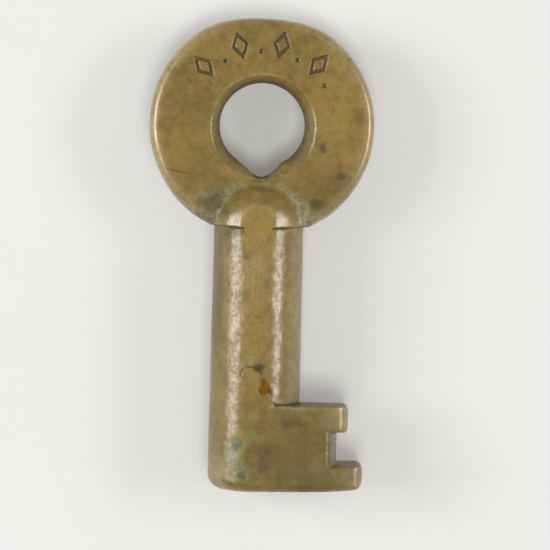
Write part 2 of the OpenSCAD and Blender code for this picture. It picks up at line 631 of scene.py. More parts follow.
@dataclass(frozen=True)
class TurnedSkin:
    """Waves, dents and fine grain of a turned and handled surface, in millimetres."""

    wave: float = 0.015
    wave_size: tuple[float, float, float] = (1.6, 5.0, 1.6)
    dent: float = 0.016
    dent_size: float = 1.1
    fine: float = 0.011
    fine_size: tuple[float, float, float] = (0.42, 0.6, 0.42)
    flank_calm: float = 0.6
    flank_span: Span = (0.6, 0.8)

    def relief(self, points: Array) -> Array:
        """How far the surface stands out.

        Args:
            points: Points of the surface, one a row.

        Returns:
            The height at each point, in millimetres.
        """
        flank = smooth_step(np.abs(sideways(points[:, 0], points[:, 2])), *self.flank_span)
        waves = self.wave * Grain(23).at(points, self.wave_size)
        dents = self.dent * Grain(24).layered(points, self.dent_size, 2)
        fine = self.fine * (1 - self.flank_calm * flank)
        return waves + dents + fine * Grain(25).at(points, self.fine_size)


@dataclass
class Piece:
    """One piece of the key, which stands for a node of the frame."""

    layout: Layout
    name: str
    node: str
    slot: str

    def build(self) -> bpy.types.Object:
        """Make the piece."""
        raise NotImplementedError

    def make_piece(self, points: Array, faces: Array, marks: Marks) -> bpy.types.Object:
        """Make the piece's object and hang it on the frame.

        Args:
            points: Its points, in millimetres.
            faces: Its faces, as rows of point numbers.
            marks: What its finish has to know at each point.

        Returns:
            The piece.
        """
        mesh = bpy.data.meshes.new(self.name)
        mesh.from_pydata(points * MM, [], faces.tolist())
        mesh.validate()
        mesh.shade_smooth()
        for mark, values in marks.items():
            layer = mesh.attributes.new(mark.value, "FLOAT", "POINT")
            layer.data.foreach_set("value", np.asarray(values, np.float32))
        piece = bpy.data.objects.new(self.name, mesh)
        bpy.context.scene.collection.objects.link(piece)
        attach(piece, BODY)
        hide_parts(self.node)
        LOG.info("%s: %d points, %d faces", self.name, len(points), len(faces))
        return piece

    def dress(self, piece: bpy.types.Object) -> None:
        """Give the piece its finish."""
        piece.data.materials.append(AgedBrass(self.slot).material())


@dataclass
class CarvedPiece(Piece):
    """A solid given by a distance function: meshed on a fine grid, then settled onto its surface."""

    step: float = 0.125
    settling: int = 3
    spots: tuple[Spot, ...] = ()
    nicks: tuple[Nick, ...] = ()
    worn_reach: float = 0.7
    worn_span: Span = (0.15, 0.7)
    shut_reach: float = 0.4
    shut_span: Span = (0.3, 0.85)

    def extent(self) -> tuple[Sequence[float], Sequence[float]]:
        """Lowest and highest corner of the grid."""
        raise NotImplementedError

    def shape(self, x: Array, y: Array, z: Array) -> Array:
        """Distance to the piece's surface, negative inside.

        Args:
            x: Places along the bit.
            y: Places along the barrel.
            z: Places toward the front.

        Returns:
            The distance at each place.
        """
        raise NotImplementedError

    def plain_form(self, x: Array, y: Array, z: Array) -> Array:
        """Distance to the form by which wear is judged, without its fine cuts."""
        return self.shape(x, y, z)

    def relief(self, points: Array) -> Array:
        """How far the surface stands out at each point, in millimetres."""
        return np.zeros(len(points))

    def marks(self, points: Array, normals: Array) -> Marks:
        """What the finish has to know at each point.

        Args:
            points: Points of the surface, one a row.
            normals: Directions that the surface faces there.

        Returns:
            Values from 0 to 1 for each mark.
        """
        marks = {mark: np.zeros(len(points)) for mark in Mark}
        marks[Mark.WORN_AND_HIGHLIGHT] = smooth_step(self.convex(points, normals, self.worn_reach), *self.worn_span)
        shut = self.concave(points, normals, self.shut_reach)
        marks[Mark.HOLLOW] = smooth_step(shut, *self.shut_span)
        for spot in self.spots:
            raise_mark(marks, spot.mark, spot.cover(points))
        for nick in self.nicks:
            raise_mark(marks, Mark.HOLLOW, nick.dirt * nick.hollow(points))
        return marks

    def distance(self, points: Array) -> Array:
        """Distance to the surface at each point."""
        return self.shape(points[:, 0], points[:, 1], points[:, 2])

    def facing(self, points: Array, reach: float = 0.02) -> Array:
        """Direction of the surface at each point.

        Args:
            points: Points, one a row.
            reach: Half the length over which the slope is taken, in millimetres.

        Returns:
            Unit directions, one a row.
        """
        offsets = np.eye(3) * reach
        slope = np.stack([self.distance(points + o) - self.distance(points - o) for o in offsets], 1)
        return slope / np.maximum(np.linalg.norm(slope, axis=1, keepdims=True), 1e-9)

    def convex(self, points: Array, normals: Array, reach: float) -> Array:
        """How sharply the surface turns away from each point, from 0 to 1."""
        return np.clip(1 + self.plain_form(*(points - normals * reach).T) / reach, 0, 1)

    def concave(self, points: Array, normals: Array, reach: float) -> Array:
        """How far each point is shut in, from 0 to 1."""
        return np.clip(1 - self.plain_form(*(points + normals * reach).T) / reach, 0, 1)

    def build(self) -> bpy.types.Object:
        """Mesh the shape and make the piece that stands for its node.

        Returns:
            The piece.
        """
        low, high = (np.array(corner, float) for corner in self.extent())
        axes = [np.arange(a, b, self.step) for a, b in zip(low, high)]
        grid = openvdb.FloatGrid(1.0)
        grid.copyFromArray(self.shape(*np.ix_(*axes)).astype(np.float32))
        points, quads = grid.convertToQuads(0.0)
        points = points * self.step + low
        for _ in range(self.settling):
            points = points - self.facing(points) * self.distance(points)[:, None]
        normals = self.facing(points)
        marks = self.marks(points, normals)
        raised = self.relief(points) - sum(n.depth * n.hollow(points) for n in self.nicks)
        return self.make_piece(points + normals * raised[:, None], quads, marks)


@dataclass
class FiledFlat:
    """The flats filed on the hood and the end of the barrel, front and back."""

    layout: Layout
    depth: float = 0.40
    slope: float = 0.08

    def past(self, y: Array, z: Array) -> Array:
        """How far a place lies outside the flats."""
        return np.abs(z) - (self.layout.barrel_r - self.depth - self.slope * (y - self.layout.rim_y))


@dataclass
class SideFacet:
    """The worn slopes beside the hood's front and back flats."""

    layout: Layout
    angle: float = 29.5
    depth: float = 0.14
    slope: float = 0.05

    def past(self, x: Array, y: Array, z: Array) -> Array:
        """How far a place lies outside the slopes.

        Args:
            x: Places along the bit.
            y: Places along the barrel.
            z: Places toward the front.

        Returns:
            The distance at each place, negative inside.
        """
        turn = math.radians(self.angle)
        out = np.abs(x) * math.sin(turn) + np.abs(z) * math.cos(turn)
        return out - (self.layout.barrel_r - self.depth - self.slope * (y - self.layout.rim_y))


@dataclass
class BarrelForm:
    """The barrel's outside: a slight taper, a worn mouth and the filed flats at the shoulder."""

    layout: Layout
    # Skin and flats
    taper: float = 0.05
    taper_bias: float = 0.6
    flat_blend: float = 0.2
    # Mouth and foot
    mouth_round: float = 1.75
    mouth_round_front: float = 1.0
    away_span: Span = (0.15, 0.95)
    foot: float = 0.13
    foot_slope: float = 0.006
    foot_from: float = 0.5
    foot_curl: float = 0.0072
    foot_bend: float = 4.5
    # Shoulder
    shoulder_gap: float = 0.1
    flank_span: Span = (0.6, 0.85)
    flank_close: float = 0.8
    # Handled and turned places
    handled_span: Span = (25.5, 29.0)
    handled_half: Span = (1.2, 3.0)
    turned_end: Span = (27.5, 29.3)
    streak_span: Span = (0.5, 0.75)
    streak_middle: float = 1.4
    streak_less: float = 1.1

    def skin(self, y: Array) -> Array:
        """Outside radius, a little larger at the mouth."""
        return self.layout.barrel_r + self.taper * (self.taper_bias - 2 * y / self.layout.shoulder_y)

    def foot_line(self, x: Array) -> Array:
        """Height of the foot, which rises toward the bit's end."""
        bend = self.foot_curl * np.maximum(x - self.foot_bend, 0) ** 2
        return self.foot_slope * np.maximum(x - self.foot_from, 0) + bend - self.foot

    def footed(self, side: Array, x: Array, y: Array, z: Array) -> Array:
        """Round a side over to the foot, most of all on the side away from the bit.

        Args:
            side: Distance to the side.
            x: Places along the bit.
            y: Places along the barrel.
            z: Places toward the front.

        Returns:
            Distance to the side with its worn foot.
        """
        away = smooth_step(-sideways(x, z), *self.away_span)
        corner = self.mouth_round_front + (self.mouth_round - self.mouth_round_front) * away
        return round_corner(side, self.foot_line(x) - y, corner)

    def outside(self, x: Array, y: Array, z: Array) -> Array:
        """Distance to the foot, skin and flats, without an upper end.

        Args:
            x: Places along the bit.
            y: Places along the barrel.
            z: Places toward the front.

        Returns:
            The distance at each place, negative inside.
        """
        side = np.hypot(x, z) - self.skin(y)
        rim = HoodRim(self.layout)
        flat = FiledFlat(self.layout).past(y, z) + rim.filed(x, z) * rim.tuck(y, 1)
        return soft_max(self.footed(side, x, y, z), flat, self.flat_blend)

    def body(self, x: Array, y: Array, z: Array) -> Array:
        """Distance to the solid form, up to the shoulder.

        Args:
            x: Places along the bit.
            y: Places along the barrel.
            z: Places toward the front.

        Returns:
            The distance at each place, negative inside.
        """
        flank = smooth_step(np.abs(sideways(x, z)), *self.flank_span)
        top = HoodRim(self.layout).height(z) - self.shoulder_gap * (1 - self.flank_close * flank)
        return np.maximum(self.outside(x, y, z), y - top)

    def marks(self, points: Array, marks: Marks) -> None:
        """Add the marks of turning and of handling to those of a piece.

        Args:
            points: Points of the surface, one a row.
            marks: Marks of the piece, changed in place.
        """
        x, y, z = points.T
        middle = 1 - smooth_step(np.abs(x), *self.handled_half)
        raise_mark(marks, Mark.WARM, smooth_step(y, *self.handled_span) * middle * (z > 0))
        flank = smooth_step(np.abs(sideways(x, z)), *self.streak_span)
        streaks = self.streak_middle - self.streak_less * flank
        marks[Mark.TURNED] = streaks * (1 - smooth_step(y, *self.turned_end))


@dataclass
class HoodRim:
    """The line where the hood ends on the barrel; filed away in the middle of each face."""

    layout: Layout
    lift: float = 0.15
    dip: float = 0.5
    filed_half: float = 1.5
    filed_drop: float = 0.7
    meet_drop: float = 0.3
    tuck_slope: float = 0.04
    tuck_lap: float = 0.05
    filed_fade: Span = (-0.4, 0.2)
    face_z: float = 3.0

    def height(self, z: Array) -> Array:
        """Height of the rim, lower toward the front and back."""
        return self.layout.rim_y + self.lift - self.dip * (z / self.layout.barrel_r) ** 2

    def tuck(self, y: Array, side: int) -> Array:
        """How far one piece dives under the other where the line is filed away, in millimetres.

        Args:
            y: Places along the barrel.
            side: 1 for the barrel, which dives going up, and -1 for the hood, which dives going down.

        Returns:
            The depth at each place.
        """
        meet = self.layout.rim_y + self.lift - self.dip - self.meet_drop
        return self.tuck_slope * np.maximum(side * (y - meet) + self.tuck_lap, 0)

    def filed(self, x: Array, z: Array) -> Array:
        """Where the line is filed away, from 0 to 1."""
        past = np.abs(x) - self.filed_half
        return (1 - smooth_step(past, *self.filed_fade)) * (np.abs(z) > self.face_z)


@dataclass
class RootSeam:
    """The line along which the bit's root is let into the barrel."""

    layout: Layout
    # Outline
    bit_w: float = 9.67
    left_x: float = -1.6
    tip_r: float = 1.15
    tip_drop: float = 0.25
    foot_x: float = 2.33
    # Open groove
    groove: float = 0.05
    groove_open: float = 0.22
    open_left: Span = (0.2, 0.9)
    open_low: Span = (0.7, 1.9)
    seat_blend: float = 0.1
    gap_blend: float = 0.12
    # Where it is shut
    closed_y: float = 12.9
    closed_fade: Span = (-0.4, 0.3)
    closed_left: Span = (-0.3, 0.2)
    rubbed_top: Span = (0.8, 1.4)
    rubbed_left: Span = (0.9, 1.4)
    rubbed_right: Span = (2.0, 2.3)
    shut: float = 0.3
    lap: float = 0.5

    @property
    def tip(self) -> Point:
        """Centre of the tongue's round tip."""
        return self.left_x + self.tip_r, self.layout.tongue_top - self.tip_drop - self.tip_r

    @property
    def edge_angle(self) -> float:
        """Direction in which the tongue's sloping edge faces."""
        run, rise = self.foot_x - self.tip[0], self.tip[1] - self.bit_w
        return math.acos(self.tip_r / math.hypot(run, rise)) - math.atan2(rise, run)

    def past(self, x: Array, y: Array) -> Array:
        """Distance outside the root's outline, seen from the front.

        Args:
            x: Places along the bit.
            y: Places along the barrel.

        Returns:
            The distance at each place, negative inside.
        """
        u, v = x - self.tip[0], y - self.tip[1]
        angle = np.arctan2(v, u)
        straight = np.maximum(-u, u * math.cos(self.edge_angle) + v * math.sin(self.edge_angle))
        tongue = np.where(angle > self.edge_angle, np.hypot(u, v), straight) - self.tip_r
        root = np.maximum(self.left_x - x, y - self.bit_w)
        return np.minimum(tongue, root)

    def closed(self, x: Array, y: Array) -> Array:
        """Where the seam is brazed shut and filed flush: on the left, and low on the sloping edge.

        Args:
            x: Places along the bit.
            y: Places along the barrel.

        Returns:
            1 where it is shut, 0 where it is open.
        """
        low = 1 - smooth_step(y - self.closed_y, *self.closed_fade)
        left = low * (1 - smooth_step(x, *self.closed_left))
        low = 1 - smooth_step(y - self.bit_w, *self.rubbed_top)
        right = low * smooth_step(x, *self.rubbed_left) * (1 - smooth_step(x, *self.rubbed_right))
        return np.maximum(left, right)

    def width(self, x: Array, y: Array) -> Array:
        """Half width of the open groove: widest along the tongue's sloping edge.

        Args:
            x: Places along the bit.
            y: Places along the barrel.

        Returns:
            The half width at each place, below 0 where the seam is shut.
        """
        right = smooth_step(x, *self.open_left) * smooth_step(y - self.bit_w, *self.open_low)
        open_width = self.groove + (self.groove_open - self.groove) * right
        return open_width - self.shut * self.closed(x, y)

    def gap(self, x: Array, y: Array, depth: Array) -> Array:
        """Distance to the groove's hollow.

        Args:
            x: Places along the bit.
            y: Places along the barrel.
            depth: Height of each place above the barrel's surface.

        Returns:
            The distance, negative inside the groove.
        """
        return np.hypot(self.past(x, y), depth) - self.width(x, y)


@dataclass
class Bow(CarvedPiece):
    """The ring with its flared hole, and the domed hood that takes the barrel."""

    # Ring
    thickness: float = 4.6
    worn_out: float = 0.08
    off_axis: float = 0.1
    edge_round: float = 1.0
    edge_drift: float = 0.01
    edge_fall: float = 0.13
    edge_fall_width: float = 1.3
    crown_lift: float = 0.44
    crown_blend: float = 2.2
    crown_tilt: float = 0.03
    drawn_in: float = 0.12
    drawn_span: Span = (9.7, 11.4)
    swell: float = 0.07
    swell_angle: float = 150.0
    swell_power: int = 8
    # Hole, its notch and the lump beside it
    hole_rise: float = 0.1
    hole_blend: float = 0.25
    flare: float = 1.05
    flare_shift: Point = (0.18, -0.48)
    notch_tip: float = 5.95
    notch_round: float = 1.4
    lump: tuple[float, float, float] = (2.95, -4.95, 0.5)
    lump_r: float = 0.95
    lump_blend: float = 0.3
    # Hood, its rim and the socket in it
    hood_r: float = 5.25
    dome_low: float = 0.5
    dome_stretch: float = 1.1
    hood_fillet: float = 0.8
    facet_blend: float = 0.3
    flat_blend: float = 0.25
    rim_blend: float = 0.15
    rim_sharp: float = 0.13
    socket_r: float = 3.5
    socket_top: float = 32.8
    # Stamped pattern and the dirt in it
    stamp_r: float = 9.35
    stamp_first: float = -46.0
    stamp_pitch: float = 29.3
    stamp_count: int = 4
    stamp_half: Point = (0.8, 1.3)
    stamp_line: float = 0.16
    stamp_depth: float = 0.25
    stamp_foot_blend: float = 0.15
    stamp_edge_blend: float = 0.08
    dot_r: float = 0.24
    dot_drop: float = 1.0
    stamp_dirt: float = 0.62
    stamp_dirt_spread: float = 0.35
    stamp_dirt_lump: float = 1.1
    stamp_dirt_fade: Span = (-0.1, 0.07)
    stamp_dirt_reach: float = 0.4
    face_dirt: float = 0.8
    # Casting skin round the hood
    skin_start: Span = (0.03, 0.3)
    skin_ragged: float = 0.6
    skin_lump: float = 1.4
    skin_top: float = 32.8
    skin_thin: float = 1.2
    skin_wide: float = 2.1
    skin_lean: float = 0.1
    skin_narrow: float = 1.4
    skin_fade: Span = (0.1, 1.8)
    crust: float = 0.05
    crust_lump: float = 0.55
    # Darkening and rust in the hole, and painted shade at the notch's tip
    wall_near: Span = (0.0, 0.1)
    wall_cast: float = 0.4
    wall_darkening: float = 0.7
    wall_rust: float = 0.3
    wall_low: Span = (0.0, 3.0)
    wall_high: Span = (2.0, 4.0)
    wall_deep: Span = (0.7, 2.0)
    tip_shade_fade: Span = (0.1, 0.42)
    tip_shade_low: Span = (5.0, 5.7)
    tip_shade_half: Span = (0.7, 1.2)
    # Rubbed and warm places; the ring's outer edge is partly a painted highlight
    hood_near: Span = (0.0, 0.1)
    edge_span: Span = (-1.6, -0.35)
    edge_rub_and_highlight: float = 0.65
    ridge_half: float = 0.1
    ridge_rub: float = 0.5
    ridge_low: Span = (30.2, 31.2)
    hood_warm: float = 0.6
    flat_warm: float = 0.3
    warm_top: Span = (31.8, 34.0)
    # Relief and grid
    upper_span: Span = (30.5, 33.0)
    face_wave: float = 0.025
    face_lump: float = 4.0
    face_fine: float = 0.005
    fine_lump: float = 0.5
    hood_dent: float = 0.025
    dent_lump: float = 1.3
    grid_side: float = 0.6
    grid_below: float = 1.8
    grid_half: float = 5.6
    # Patches and nicks
    spots: tuple[Spot, ...] = (
        Spot(Mark.WARM, (8.8, 43.0), (3.2, 7.0), 0.8),
        Spot(Mark.WARM, (8.8, 48.3), (1.0, 1.1), 1.0),
        Spot(Mark.STAIN_AND_SHADE, (6.96, 38.84), (0.55, 0.75), 0.8),
        Spot(Mark.STAIN_AND_SHADE, (9.3, 35.6), (1.0, 0.8), 0.9),
        Spot(Mark.STAIN_AND_SHADE, (-5.5, 32.3), (0.8, 1.4), 0.55),
        Spot(Mark.STAIN_AND_SHADE, (6.6, 32.5), (1.3, 1.0), 0.8),
        Spot(Mark.STAIN_AND_SHADE, (-7.5, 35.5), (3.2, 3.4), 0.25),
        Spot(Mark.STAIN_AND_SHADE, (7.5, 34.3), (3.2, 2.6), 0.38),
        Spot(Mark.STAIN_AND_SHADE, (-5.2, 31.9), (2.2, 2.6), 0.75),
        Spot(Mark.STAIN_AND_SHADE, (-4.6, 34.0), (2.2, 1.6), 0.3),
        Spot(Mark.WARM, (-9.6, 37.0), (2.4, 3.6), 0.8),
        Spot(Mark.WARM, (-2.6, 36.2), (2.2, 1.3), 0.8),
        Spot(Mark.WARM, (2.8, 36.0), (1.8, 1.1), 0.6),
        Spot(Mark.WARM, (9.9, 38.3), (1.7, 2.8), 0.7),
        Spot(Mark.STAIN_AND_SHADE, (0.6, 32.35), (0.9, 0.4), 0.4),
        Spot(Mark.WORN_AND_HIGHLIGHT, (0.1, 25.0), (1.8, 5.0), 0.35),
    )
    nicks: tuple[Nick, ...] = (
        Nick((8.8, 46.93), (8.85, 46.93), 0.13, 0.09),
        Nick((8.41, 44.43), (8.45, 44.43), 0.15, 0.1),
        Nick((8.11, 42.95), (8.15, 42.95), 0.17, 0.1),
        Nick((-5.79, 45.89), (-5.75, 45.89), 0.17, 0.1),
        Nick((-8.52, 46.51), (-7.94, 45.95), 0.1, 0.06),
        Nick((-10.42, 36.04), (-8.14, 35.64), 0.1, 0.05),
        Nick((9.77, 48.99), (9.95, 49.1), 0.25, 0.12),
        Nick((5.7, 51.5), (6.0, 51.2), 0.1, 0.06),
    )

    def extent(self) -> tuple[Sequence[float], Sequence[float]]:
        """Lowest and highest corner of the grid.

        Returns:
            The two corners, in millimetres.
        """
        lay, r = self.layout, self.layout.bow_r + self.grid_side
        low = (-r, lay.rim_y - self.grid_below, -self.grid_half)
        return low, (r, lay.crown_y + MARGIN, self.grid_half)

    def hole(self, x: Array, v: Array, z: Array) -> Array:
        """Distance to the hole: a flared round hole with a notch toward the barrel.

        Args:
            x: Places across the bow, from the hole's middle.
            v: Places up the bow, from the hole's middle.
            z: Places toward the front.

        Returns:
            The distance at each place, negative inside the hole.
        """
        lay = self.layout
        flare_h = (self.thickness - lay.hole_land) / 2
        height = np.clip((np.abs(z) - lay.hole_land / 2) / flare_h, 0, 1) * np.sign(z)
        ring = np.hypot(x - self.flare_shift[0] * height, v - self.flare_shift[1] * height)
        steep = math.cos(math.atan2(self.flare, flare_h))
        cone = (ring - lay.hole_r - self.flare * np.abs(height)) * steep
        run = self.notch_tip - self.notch_round
        lean = (lay.hole_r - self.notch_round) / run
        upright = math.sqrt(1 - lean * lean)
        along, across = -v, np.abs(x)
        turn = along * upright - across * lean
        sides = across * upright + along * lean - lay.hole_r
        tip = np.hypot(across, along - run) - self.notch_round
        wedge = np.where(turn > run * upright, tip, sides)
        wedge = np.where(turn < 0, np.hypot(across, along) - lay.hole_r, wedge)
        lump = np.sqrt((x - self.lump[0]) ** 2 + (v - self.lump[1]) ** 2 + (z - self.lump[2]) ** 2)
        return soft_max(np.minimum(cone, wedge), self.lump_r - lump, self.lump_blend)

    def dome(self, x: Array, y: Array, z: Array) -> Array:
        """Distance to the hood before its front and back were filed flat.

        Args:
            x: Places along the bit.
            y: Places along the barrel.
            z: Places toward the front.

        Returns:
            The distance at each place, negative inside.
        """
        rise = np.maximum(y - self.layout.rim_y + self.dome_low, 0) / self.dome_stretch
        dome = np.sqrt(x * x + z * z + rise * rise) - self.hood_r
        return soft_max(dome, SideFacet(self.layout).past(x, y, z), self.facet_blend)

    def hood(self, x: Array, y: Array, z: Array) -> Array:
        """Distance to the hood, a dome with filed flats."""
        return soft_max(self.dome(x, y, z), FiledFlat(self.layout).past(y, z), self.flat_blend)

    def stamp(self, x: Array, v: Array) -> Array:
        """Distance to the lines of the stamped pattern: lozenges along an arc, with dots between.

        Args:
            x: Places across the bow, from its middle.
            v: Places up the bow, from its middle.

        Returns:
            The distance to the nearest line's edge, negative inside it.
        """
        wide, tall = self.stamp_half
        nearest = np.full(np.broadcast(x, v).shape, FAR)
        for n in range(self.stamp_count):
            turn = math.radians(self.stamp_first + n * self.stamp_pitch)
            across = x * math.cos(turn) - v * math.sin(turn)
            up = x * math.sin(turn) + v * math.cos(turn) - self.stamp_r
            lozenge = (np.abs(across) / wide + np.abs(up) / tall - 1) / math.hypot(1 / wide, 1 / tall)
            nearest = np.minimum(nearest, np.abs(lozenge) - self.stamp_line)
            turn += math.radians(self.stamp_pitch / 2)
            reach = self.stamp_r - self.dot_drop
            dot = np.hypot(x - reach * math.sin(turn), v - reach * math.cos(turn)) - self.dot_r
            nearest = np.minimum(nearest, dot)
        return nearest

    def plain_form(self, x: Array, y: Array, z: Array) -> Array:
        """Distance to the casting, without its stamped pattern, rim and socket.

        Args:
            x: Places along the bit.
            y: Places along the barrel.
            z: Places toward the front.

        Returns:
            The distance at each place, negative inside.
        """
        lay = self.layout
        u, v = x - self.off_axis, y - lay.bow_y
        edge = self.edge_round - self.edge_drift * u
        r = np.maximum(np.hypot(u, v), NEAR_AXIS)
        turn = math.radians(self.swell_angle)
        toward = np.maximum((u * math.cos(turn) + v * math.sin(turn)) / r, 0)
        swell = self.swell * toward**self.swell_power
        drawn = self.drawn_in * smooth_step(-v, *self.drawn_span)
        side = r - lay.bow_r - self.worn_out - swell + drawn
        fall = self.edge_fall * np.clip(1 + side / self.edge_fall_width, 0, 1) ** 2
        ring = round_corner(side, np.abs(z) - self.thickness / 2 + fall, edge)
        ring = soft_max(ring, y - lay.crown_y - self.crown_lift + self.crown_tilt * u, self.crown_blend)
        solid = soft_min(ring, self.hood(x, y, z), self.hood_fillet)
        return soft_max(solid, -self.hole(u, v - self.hole_rise, z), self.hole_blend)

    def shape(self, x: Array, y: Array, z: Array) -> Array:
        """Distance to the bow's surface, negative inside.

        Args:
            x: Places along the bit.
            y: Places along the barrel.
            z: Places toward the front.

        Returns:
            The distance at each place, negative inside.
        """
        lay = self.layout
        stamp = self.stamp(x - self.off_axis, y - lay.bow_y)
        stamp = soft_max(stamp, self.thickness / 2 - self.stamp_depth - z, self.stamp_foot_blend)
        solid = soft_max(self.plain_form(x, y, z), -stamp, self.stamp_edge_blend)
        rim = HoodRim(lay)
        filed = rim.filed(x, z)
        under = rim.height(z) - rim.filed_drop * filed - y
        solid = soft_max(solid, under, self.rim_blend - self.rim_sharp * filed)
        solid = np.maximum(solid, FiledFlat(lay).past(y, z) + filed * rim.tuck(y, -1))
        socket = np.maximum(np.hypot(x, z) - self.socket_r, y - self.socket_top)
        return np.maximum(solid, -socket)

    def valley(self, points: Array) -> Array:
        """Where the bow keeps its rough casting skin: the valley round the hood.

        Args:
            points: Points of the surface, one a row.

        Returns:
            1 where the skin is whole, 0 where it is worn away.
        """
        x, y, z = points.T
        near = self.hood(x, y, z)
        ragged = self.skin_ragged * Grain(14).layered(points, self.skin_lump, 3)
        away = near + ragged + self.skin_thin * np.maximum(y - self.skin_top, 0)
        broad = np.maximum(self.skin_wide - self.skin_lean * x, self.skin_narrow)
        fading = smooth_step(away, broad * self.skin_fade[0], broad * self.skin_fade[1])
        return smooth_step(near, *self.skin_start) * (1 - fading)

    def marks(self, points: Array, normals: Array) -> Marks:
        """What the finish has to know at each point.

        Args:
            points: Points of the surface, one a row.
            normals: Directions that the surface faces there.

        Returns:
            Values from 0 to 1 for each mark.
        """
        marks = super().marks(points, normals)
        self.mark_stamp(points, marks)
        self.mark_hole(points, marks)
        self.mark_hood(points, marks)
        return marks

    def mark_stamp(self, points: Array, marks: Marks) -> None:
        """Darken the stamped pattern unevenly.

        Args:
            points: Points of the surface, one a row.
            marks: Marks of the piece, changed in place.
        """
        x, y, z = points.T
        stamp = self.stamp(x - self.off_axis, y - self.layout.bow_y)
        face = z > self.thickness / 2 - self.stamp_dirt_reach
        filled = (1 - smooth_step(stamp, *self.stamp_dirt_fade)) * face
        uneven = self.stamp_dirt + self.stamp_dirt_spread * Grain(15).at(points, self.stamp_dirt_lump)
        marks[Mark.HOLLOW] = np.maximum(self.face_dirt * marks[Mark.HOLLOW], uneven * filled)

    def mark_hole(self, points: Array, marks: Marks) -> None:
        """Leave casting skin, darkening and rust on the hole's wall, and painted shade at the notch's tip.

        Args:
            points: Points of the surface, one a row.
            marks: Marks of the piece, changed in place.
        """
        x, y, z = points.T
        u, v = x - self.off_axis, y - self.layout.bow_y
        wall = 1 - smooth_step(self.hole(u, v - self.hole_rise, z), *self.wall_near)
        lower = self.wall_cast * wall * (1 - smooth_step(v, *self.wall_low))
        marks[Mark.CAST] = np.maximum(self.valley(points), lower)
        # Darker partway into the hole's wall
        deep = self.wall_darkening * wall * (1 - smooth_step(np.abs(z), *self.wall_deep))
        # Painted shade at the notch's tip
        tip = np.hypot(u, v - self.hole_rise + self.notch_tip - self.notch_round) - self.notch_round
        tip_shade = (1 - smooth_step(tip, *self.tip_shade_fade)) * smooth_step(-v, *self.tip_shade_low)
        tip_shade = tip_shade * (1 - smooth_step(np.abs(u), *self.tip_shade_half))
        raise_mark(marks, Mark.HOLLOW, np.maximum(deep, tip_shade))
        raise_mark(marks, Mark.RUST, self.wall_rust * wall * smooth_step(v, *self.wall_high))

    def mark_hood(self, points: Array, marks: Marks) -> None:
        """Rub the ring's outer edge bright, as wear and a painted highlight, rub the flats' ridges bright,
        and warm the hood.

        Args:
            points: Points of the surface, one a row.
            marks: Marks of the piece, changed in place.
        """
        x, y, z = points.T
        out = np.hypot(x - self.off_axis, y - self.layout.bow_y) - self.layout.bow_r
        hooded = 1 - smooth_step(self.hood(x, y, z), *self.hood_near)
        # The ring's outer edge: rubbed brass and a painted highlight along its rim
        raise_mark(marks, Mark.WORN_AND_HIGHLIGHT, self.edge_rub_and_highlight * smooth_step(out, *self.edge_span) * (1 - hooded))
        past_flat = FiledFlat(self.layout).past(y, z) - self.dome(x, y, z)
        ridge = np.exp(-((past_flat / self.ridge_half) ** 2)) * hooded
        raise_mark(marks, Mark.WORN_AND_HIGHLIGHT, self.ridge_rub * ridge * smooth_step(y, *self.ridge_low))
        flat = smooth_step(past_flat, -self.ridge_half, self.ridge_half)
        warm = hooded * (self.hood_warm + self.flat_warm * flat)
        raise_mark(marks, Mark.WARM, warm * (1 - smooth_step(y, *self.warm_top)))

    def relief(self, points: Array) -> Array:
        """How far the surface stands out.

        Args:
            points: Points of the surface, one a row.

        Returns:
            The height at each point, in millimetres.
        """
        upper = smooth_step(points[:, 1], *self.upper_span)
        face = self.face_wave * Grain(11).layered(points, self.face_lump, 3)
        face = face + self.face_fine * Grain(12).at(points, self.fine_lump)
        crust = self.crust * Grain(13).layered(points, self.crust_lump, 2) * self.valley(points)
        hooded = self.hood(*points.T) < self.hood_near[1]
        dents = self.hood_dent * Grain(16).layered(points, self.dent_lump, 2) * hooded
        return TurnedSkin().relief(points) * (1 - upper) + (face + dents) * upper + crust


